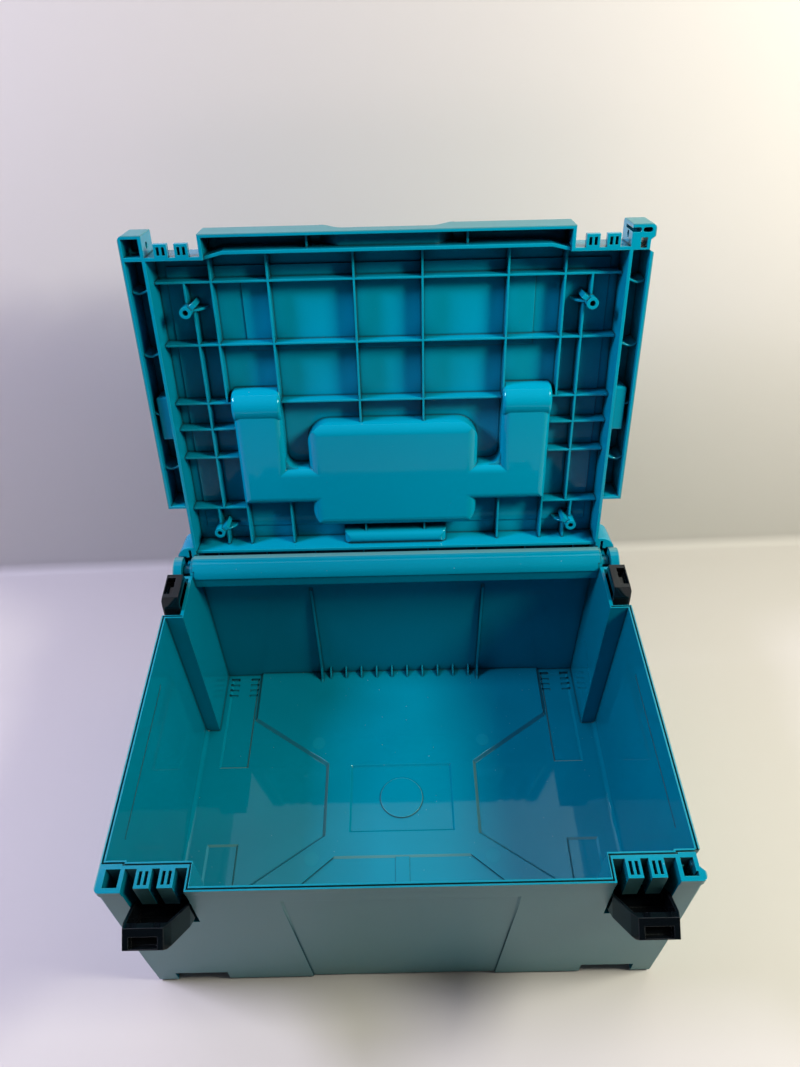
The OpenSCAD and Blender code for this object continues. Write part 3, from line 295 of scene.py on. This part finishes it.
def makePinMarks(steps):
    # witness discs of the ejector pins on the floor: rings round four mirrored points
    group, enter, leave = newGroup("pinMarks",
                                   {"Across": 0.0795, "Front": -0.0532, "Back": 0.061, "Radius": 0.0063},
                                   {"Disc": "NodeSocketFloat", "Ring": "NodeSocketFloat"})
    place = addNode(group, "ShaderNodeTexCoord", (-1000, 0))
    split = addNode(group, "ShaderNodeSeparateXYZ", (-800, 0))
    feed(group, place.outputs["Object"], split.inputs[0])
    across = mathNode(group, "ABSOLUTE", split.outputs["X"])
    sideways = mathNode(group, "SUBTRACT", across, enter.outputs["Across"])
    discs, rings = None, None
    for label in ("Front", "Back"):
        along = mathNode(group, "SUBTRACT", split.outputs["Y"], enter.outputs[label])
        square = mathNode(group, "ADD", mathNode(group, "MULTIPLY", along, along),
                          mathNode(group, "MULTIPLY", sideways, sideways))
        reach = mathNode(group, "SUBTRACT", mathNode(group, "SQRT", square), enter.outputs["Radius"])
        disc = stepNode(group, reach, steps["edge"], -steps["edge"])
        ring = stepNode(group, mathNode(group, "ABSOLUTE", reach), steps["ringWidth"], 0.0)
        discs = disc if discs is None else mathNode(group, "MAXIMUM", discs, disc)
        rings = ring if rings is None else mathNode(group, "MAXIMUM", rings, ring)
    onFloor = stepNode(group, split.outputs["Z"], *steps["floor"])
    feed(group, mathNode(group, "MULTIPLY", discs, onFloor), leave.inputs["Disc"])
    feed(group, mathNode(group, "MULTIPLY", rings, onFloor), leave.inputs["Ring"])
    return group


bevelAndPaintedLight = makeBevelAndPaintedLight(edgeSteps)
mouldGrain = makeMouldGrain(grainSteps)
meltFlow = makeMeltFlow(flowSteps)
dustGroup = makeDust(dustSteps)
scuffGroup = makeScuffs(scuffSteps)
outsideGroup = makeOutside(outsideFade)
pinMarks = makePinMarks(pinSteps)
print("shared effects built")


# the moulded plastic that every piece is made of
def newMaterial(name):
    material = bpy.data.materials.new(name)
    material.use_nodes = True
    tree = material.node_tree
    tree.nodes.clear()
    out = addNode(tree, "ShaderNodeOutputMaterial", (1300, 0))
    return material, tree, out


def mixColour(tree, share, first, second):
    node = addNode(tree, "ShaderNodeMix", data_type="RGBA")
    feed(tree, share, node.inputs["Factor"])
    feed(tree, first, node.inputs[6])
    feed(tree, second, node.inputs[7])
    return node.outputs[2]


def mixValue(tree, share, first, second):
    node = addNode(tree, "ShaderNodeMix", data_type="FLOAT")
    feed(tree, share, node.inputs["Factor"])
    feed(tree, first, node.inputs[2])
    feed(tree, second, node.inputs[3])
    return node.outputs[0]


marks = {
    # what each kind of mark adds to the plain plastic
    "pinRough": 0.12,
    "pinTint": 0.06,
    "pinHeight": 0.00005,  # metres
    "lintRough": 0.35,
    "scuffRough": 0.2,
}


def tinted(tree, colour, mask, strength, tint):
    # colour moved towards tint by mask times strength
    return mixColour(tree, mathNode(tree, "MULTIPLY", mask, strength), colour, tint)


def shellPlastic(name, look):
    material, tree, out = newMaterial(name)
    shader = addNode(tree, "ShaderNodeBsdfPrincipled", (1000, 0))
    tree.links.new(shader.outputs[0], out.inputs["Surface"])
    shader.inputs["IOR"].default_value = look["ior"]
    shader.inputs["Specular Tint"].default_value = look["shineTint"]
    bevelLight = useGroup(tree, bevelAndPaintedLight, (-400, 400), Radius=look["edgeRadius"], Depth=look["creviceDepth"],
                    Width=look["cavityWidth"])
    grain = useGroup(tree, mouldGrain, (-400, 200), Scale=look["grainScale"])
    flow = useGroup(tree, meltFlow, (-400, 0), Scale=look["flowScale"])
    outer = useGroup(tree, outsideGroup, (-400, -200), **look["outside"])
    dust = useGroup(tree, dustGroup, (-400, -400), Amount=look["dust"])
    scuff = useGroup(tree, scuffGroup, (-400, -600), Amount=look["scuffs"])
    colour = mixColour(tree, flow.outputs["Tone"], look["deep"], look["bright"])
    # the outside is painted greyer, a painted sheen for its rough reflection of the bright floor
    colour = tinted(tree, colour, outer.outputs[0], look["paintedSheen"], look["outerSheenTint"])
    # painted highlight along outer edges
    colour = tinted(tree, colour, bevelLight.outputs["Edge"], look["edgeShine"], look["edgeHighlightAndMarkTint"])
    # painted shade deep in corners and at the bottom of narrow channels and slots
    colour = tinted(tree, colour, bevelLight.outputs["PaintedCreviceShade"], look["creviceShade"], look["paintedShadeTint"])
    colour = tinted(tree, colour, bevelLight.outputs["PaintedChannelShade"], look["cavityShade"], look["paintedShadeTint"])
    rough = mixValue(tree, outer.outputs[0], look["innerRough"], look["outerRough"])
    rough = mathNode(tree, "MULTIPLY_ADD", grain.outputs["Speck"], look["roughSpread"], rough)
    height = mixValue(tree, outer.outputs[0],
                      mathNode(tree, "MULTIPLY", grain.outputs["Height"], look["innerGrain"]),
                      mathNode(tree, "MULTIPLY", grain.outputs["Height"], look["outerGrain"]))
    height = mathNode(tree, "MULTIPLY_ADD", flow.outputs["Wave"], look["waviness"], height)
    if look["pins"]:
        pins = useGroup(tree, pinMarks, (-400, -800))
        rough = mathNode(tree, "MULTIPLY_ADD", pins.outputs["Disc"], marks["pinRough"], rough)
        colour = tinted(tree, colour, pins.outputs["Disc"], marks["pinTint"], look["edgeHighlightAndMarkTint"])
        height = mathNode(tree, "MULTIPLY_ADD", pins.outputs["Ring"], marks["pinHeight"], height)
    colour = mixColour(tree, scuff.outputs["Mask"], colour, look["edgeHighlightAndMarkTint"])
    colour = mixColour(tree, dust.outputs["Mask"], colour, look["lint"])
    for mask, added in ((bevelLight.outputs["PaintedCreviceShade"], look["creviceRough"]),
                        (dust.outputs["Mask"], marks["lintRough"]),
                        (scuff.outputs["Mask"], marks["scuffRough"])):
        rough = mathNode(tree, "ADD", rough, mathNode(tree, "MULTIPLY", mask, added), clamp=True)
    bump = addNode(tree, "ShaderNodeBump", (700, -300))
    bump.inputs["Strength"].default_value = 1.0
    bump.inputs["Distance"].default_value = 1.0
    feed(tree, height, bump.inputs["Height"])
    feed(tree, bevelLight.outputs["Normal"], bump.inputs["Normal"])
    feed(tree, colour, shader.inputs["Base Color"])
    feed(tree, rough, shader.inputs["Roughness"])
    feed(tree, bump.outputs[0], shader.inputs["Normal"])
    return material


def dress(nodeName, material):
    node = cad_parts[nodeName]
    node.data.materials.clear()
    node.data.materials.append(material)


tubLook = {
    "deep": (0.0, 0.168, 0.262, 1.0),
    "bright": (0.0, 0.198, 0.304, 1.0),
    # greyer teal painted on the outside as sheen
    "outerSheenTint": (0.082, 0.240, 0.262, 1.0),
    # colour of the painted edge highlight, also used for scuffs and pin marks
    "edgeHighlightAndMarkTint": (0.03, 0.48, 0.54, 1.0),
    # colour of the painted shade in corners and channels
    "paintedShadeTint": (0.0, 0.030, 0.048, 1.0),
    "lint": (0.50, 0.58, 0.58, 1.0),
    "shineTint": (0.55, 0.92, 1.0, 1.0),
    "paintedSheen": 0.95,           # how far the outside is painted towards its greyer tint, a painted sheen
    # share of the painted edge highlight
    "edgeShine": 0.65,
    "edgeRadius": 0.0004,
    # how far corners and channels are painted towards the shade colour
    "creviceShade": 0.88,
    "creviceRough": 0.5,
    "creviceDepth": 0.0022,
    "cavityShade": 0.62,
    "cavityWidth": 0.016,
    "innerRough": 0.03,
    "outerRough": 0.38,
    "roughSpread": 0.015,
    "innerGrain": 0.000001,  # metres
    "outerGrain": 0.000022,
    "grainScale": 1100.0,
    "flowScale": 5.0,
    "waviness": 0.00010,
    "dust": 0.6,
    "scuffs": 0.0,
    "ior": 1.5,
    "outside": {"Middle": (0.0, 0.0, 0.09), "Weights": (1.0, 1.0, 0.0)},
    "pins": True,
}
dress("tub", shellPlastic("tubTeal", tubLook))

lidLook = dict(tubLook)
lidLook.update({
    # the lid is the same plastic as the tub; its colours are painted lighter, as painted light for what the
    # open lid catches
    "deep": (0.0, 0.250, 0.395, 1.0),
    "bright": (0.0, 0.285, 0.450, 1.0),
    "outerSheenTint": (0.066, 0.234, 0.265, 1.0),
    "edgeShine": 0.55,
    "edgeRadius": 0.0008,
    "innerRough": 0.05,
    # the open lid leans back by 14 degrees; its middle is put far in front, so that only the top face
    # looks away from it, and the front skirt lies past the reach. Once the lid is turned, the top face
    # gets the inner finish and the rear band the outer one
    "outside": {"Middle": (0.0, -97.0, 24.2), "Weights": (0.01, 0.01, 0.01), "Least": 0.3,
                "Axis": (0.0, 0.2419, 0.9703), "Reach": 0.4876},
    "pins": False,
})
dress("lid", shellPlastic("lidTeal", lidLook))

latchLook = {
    "deep": (0.0018, 0.0030, 0.0046, 1.0),
    "bright": (0.0028, 0.0048, 0.0070, 1.0),
    # outside painted-sheen tint, then the colours of the painted edge highlight and of the painted shade
    "outerSheenTint": (0.0022, 0.0038, 0.0056, 1.0),
    "edgeHighlightAndMarkTint": (0.075, 0.086, 0.100, 1.0),
    "paintedShadeTint": (0.0010, 0.0010, 0.0012, 1.0),
    "lint": (0.30, 0.31, 0.32, 1.0),
    "shineTint": (0.86, 0.94, 1.0, 1.0),
    "paintedSheen": 0.5,
    "edgeShine": 0.45,
    "edgeRadius": 0.0007,
    "creviceShade": 0.6,
    "creviceRough": 0.2,
    "creviceDepth": 0.003,
    "cavityShade": 0.5,
    "cavityWidth": 0.010,
    "innerRough": 0.07,
    "outerRough": 0.09,
    "roughSpread": 0.03,
    "innerGrain": 0.000001,
    "outerGrain": 0.000001,
    "grainScale": 1300.0,
    "flowScale": 18.0,
    "waviness": 0.00003,
    "dust": 0.3,
    "scuffs": 0.0,
    "ior": 1.5,
    "outside": {"Middle": (0.0, 0.0, 0.14), "Weights": (1.0, 1.0, 0.0)},
    "pins": False,
}
latchBlack = shellPlastic("latchBlack", latchLook)
for latchName in ("latch_front_left", "latch_front_right", "latch_side_left", "latch_side_right"):
    dress(latchName, latchBlack)

handleLook = dict(latchLook)
handleLook.update({
    "innerRough": 0.42,
    "outerRough": 0.48,
    "outerGrain": 0.00003,
    "innerGrain": 0.00003,
    "scuffs": 0.35,
})
dress("handle", shellPlastic("handleBlack", handleLook))
print("mouldings dressed")


# studio sweep: a floor that turns up into a wall
sweep = {
    "halfWidth": 5.0,
    "front": -4.0,
    "wallY": 0.318,
    "turn": 0.012,     # radius where the floor meets the wall
    "height": 3.2,
    "slant": 0.023,    # the wall runs a little away towards +X
    "rows": 14,
    "floorColour": (0.55, 0.52, 0.53, 1.0),
    "footShadeColour": (0.62, 0.60, 0.60, 1.0),     # wall just above the floor, painted darker as shade
    "wallColour": (0.75, 0.71, 0.72, 1.0),
    "paleFrom": 0.42,                          # height at which the painted shade at the wall's foot is gone and the wall is palest
    "footHeight": 0.02,                        # height over which floor and foot colour blend
    "rough": 0.6,
}


def sweepPoints(shape):
    # profile: floor line, quarter circle of the turn radius, wall line;
    # carried along X, with y moved by slant * x
    turn = np.linspace(0.0, math.pi / 2, shape["rows"])
    arcY = shape["wallY"] - shape["turn"] + shape["turn"] * np.sin(turn)
    arcZ = shape["turn"] * (1.0 - np.cos(turn))
    profileY = np.concatenate(([shape["front"]], arcY, [shape["wallY"]]))
    profileZ = np.concatenate(([0.0], arcZ, [shape["height"]]))
    x = np.array([-shape["halfWidth"], shape["halfWidth"]])
    points = np.empty((len(x), len(profileY), 3))
    points[..., 0] = x[:, None]
    points[..., 1] = profileY[None, :] + shape["slant"] * x[:, None] * (profileY[None, :] > shape["front"])
    points[..., 2] = profileZ[None, :]
    return points


def gridFaces(columns, rows):
    # quads of a columns x rows grid of points
    index = np.arange(columns * rows).reshape(columns, rows)
    return np.stack([index[:-1, :-1], index[1:, :-1], index[1:, 1:], index[:-1, 1:]], axis=-1).reshape(-1, 4)


def makeSweep(shape):
    points = sweepPoints(shape)
    mesh = bpy.data.meshes.new("studioSweep")
    mesh.from_pydata(points.reshape(-1, 3).tolist(), [], gridFaces(*points.shape[:2]).tolist())
    mesh.shade_smooth()
    sweepObject = bpy.data.objects.new("studioSweep", mesh)
    bpy.context.scene.collection.objects.link(sweepObject)
    material, tree, out = newMaterial("sweepPaper")
    place = addNode(tree, "ShaderNodeTexCoord", (-800, 0))
    split = addNode(tree, "ShaderNodeSeparateXYZ", (-600, 0))
    feed(tree, place.outputs["Object"], split.inputs[0])
    # the wall is painted darker towards its foot, as shade
    wall = mixColour(tree, stepNode(tree, split.outputs["Z"], 0.0, shape["paleFrom"]),
                     shape["footShadeColour"], shape["wallColour"])
    colour = mixColour(tree, stepNode(tree, split.outputs["Z"], 0.0, shape["footHeight"]),
                       shape["floorColour"], wall)
    shader = addNode(tree, "ShaderNodeBsdfPrincipled", (300, 100))
    feed(tree, colour, shader.inputs["Base Color"])
    shader.inputs["Roughness"].default_value = shape["rough"]
    clear = addNode(tree, "ShaderNodeBsdfTransparent", (300, -200))
    side = addNode(tree, "ShaderNodeNewGeometry", (0, 300))
    mix = addNode(tree, "ShaderNodeMixShader", (600, 0))
    # from behind the wall the paper is clear, so the case shows from every side
    feed(tree, side.outputs["Backfacing"], mix.inputs[0])
    tree.links.new(shader.outputs[0], mix.inputs[1])
    tree.links.new(clear.outputs[0], mix.inputs[2])
    tree.links.new(mix.outputs[0], out.inputs["Surface"])
    mesh.materials.append(material)


makeSweep(sweep)
print("studio sweep made")


# two soft lamps, one on each side
lamps = {
    "right": {"place": (0.8, -0.14, 1.0), "aim": (0.0, 0.05, 0.15), "size": 0.3, "power": 15.1,
              "colour": (1.0, 0.985, 0.78)},
    "left": {"place": (-0.9, 0.0, 1.1), "aim": (0.0, 0.05, 0.15), "size": 0.3, "power": 15.2,
             "colour": (0.80, 0.78, 1.0)},
}


def aimedAt(place, target):
    return (Vector(target) - Vector(place)).to_track_quat("-Z", "Y").to_matrix().to_4x4()


for lampName, lamp in lamps.items():
    data = bpy.data.lights.new(lampName, "AREA")
    data.shape = "SQUARE"
    data.size = lamp["size"]
    data.energy = lamp["power"]
    data.color = lamp["colour"]
    lampObject = bpy.data.objects.new(lampName, data)
    lampObject.matrix_world = Matrix.Translation(lamp["place"]) @ aimedAt(lamp["place"], lamp["aim"])
    bpy.context.scene.collection.objects.link(lampObject)

# room light: each side of the room has its own tint, and what lies in front of the case is dim
room = {
    "left": (0.80, 0.84, 1.00, 1.0),
    "right": (1.00, 0.94, 0.80, 1.0),
    "front": 0.06,             # share of the room's light that comes from the front
    "strength": 0.12,
    "seen": (0.80, 0.79, 0.80, 1.0),
    "sideBlend": (-0.6, 0.6),  # directions between which left turns to right, front to back, walls to ceiling
    "depthBlend": (-0.5, 0.1),
    "heightBlend": (0.3, 0.9),
}


def makeRoom(look):
    world = bpy.data.worlds.new("studio")
    world.use_nodes = True
    tree = world.node_tree
    tree.nodes.clear()
    place = addNode(tree, "ShaderNodeTexCoord", (-1000, 0))
    split = addNode(tree, "ShaderNodeSeparateXYZ", (-800, 0))
    feed(tree, place.outputs["Generated"], split.inputs[0])
    side = stepNode(tree, split.outputs["X"], *look["sideBlend"])
    colour = mixColour(tree, side, look["left"], look["right"])
    level = stepNode(tree, split.outputs["Y"], *look["depthBlend"], look["front"], 1.0)
    lift = stepNode(tree, split.outputs["Z"], *look["heightBlend"])
    level = mathNode(tree, "MAXIMUM", level, lift)
    level = mathNode(tree, "MULTIPLY", level, look["strength"])
    light = addNode(tree, "ShaderNodeBackground", (0, 100))
    feed(tree, colour, light.inputs["Color"])
    feed(tree, level, light.inputs["Strength"])
    seen = addNode(tree, "ShaderNodeBackground", (0, -100))
    seen.inputs["Color"].default_value = look["seen"]
    path = addNode(tree, "ShaderNodeLightPath", (0, 400))
    mix = addNode(tree, "ShaderNodeMixShader", (300, 0))
    feed(tree, path.outputs["Is Camera Ray"], mix.inputs[0])
    tree.links.new(light.outputs[0], mix.inputs[1])
    tree.links.new(seen.outputs[0], mix.inputs[2])
    out = addNode(tree, "ShaderNodeOutputWorld", (600, 0))
    tree.links.new(mix.outputs[0], out.inputs["Surface"])
    bpy.context.scene.world = world


makeRoom(room)
bpy.context.scene.view_settings.view_transform = "Standard"
print("lamps lit")


cameraLook = {
    "place": (0.0072, -0.3545, 0.7088),
    "pitch": 44.96,    # degrees below the horizon
    "yaw": -0.33,      # degrees to the right
    "roll": 1.54,
    "focal": 810.4,    # in pixels of an 800 x 1067 frame
    "longSide": 1067.0,
    "sensor": 36.0,    # millimetres
    "near": 0.02,
}


def makeCamera(look):
    pitch, yaw, roll = (math.radians(look[key]) for key in ("pitch", "yaw", "roll"))
    forward = Vector((math.sin(yaw) * math.cos(pitch), math.cos(yaw) * math.cos(pitch), -math.sin(pitch)))
    level = Vector((math.cos(yaw), -math.sin(yaw), 0.0))
    down = forward.cross(level)
    right = math.cos(roll) * level + math.sin(roll) * down
    down = -math.sin(roll) * level + math.cos(roll) * down
    turn = Matrix((right, -down, -forward)).transposed().to_4x4()
    data = bpy.data.cameras.new("camera")
    data.sensor_fit = "AUTO"
    data.sensor_width = look["sensor"]
    data.lens = look["focal"] / look["longSide"] * data.sensor_width
    data.clip_start = look["near"]
    cameraObject = bpy.data.objects.new("camera", data)
    cameraObject.matrix_world = Matrix.Translation(look["place"]) @ turn
    bpy.context.scene.collection.objects.link(cameraObject)
    bpy.context.scene.camera = cameraObject


makeCamera(cameraLook)
print("camera placed")
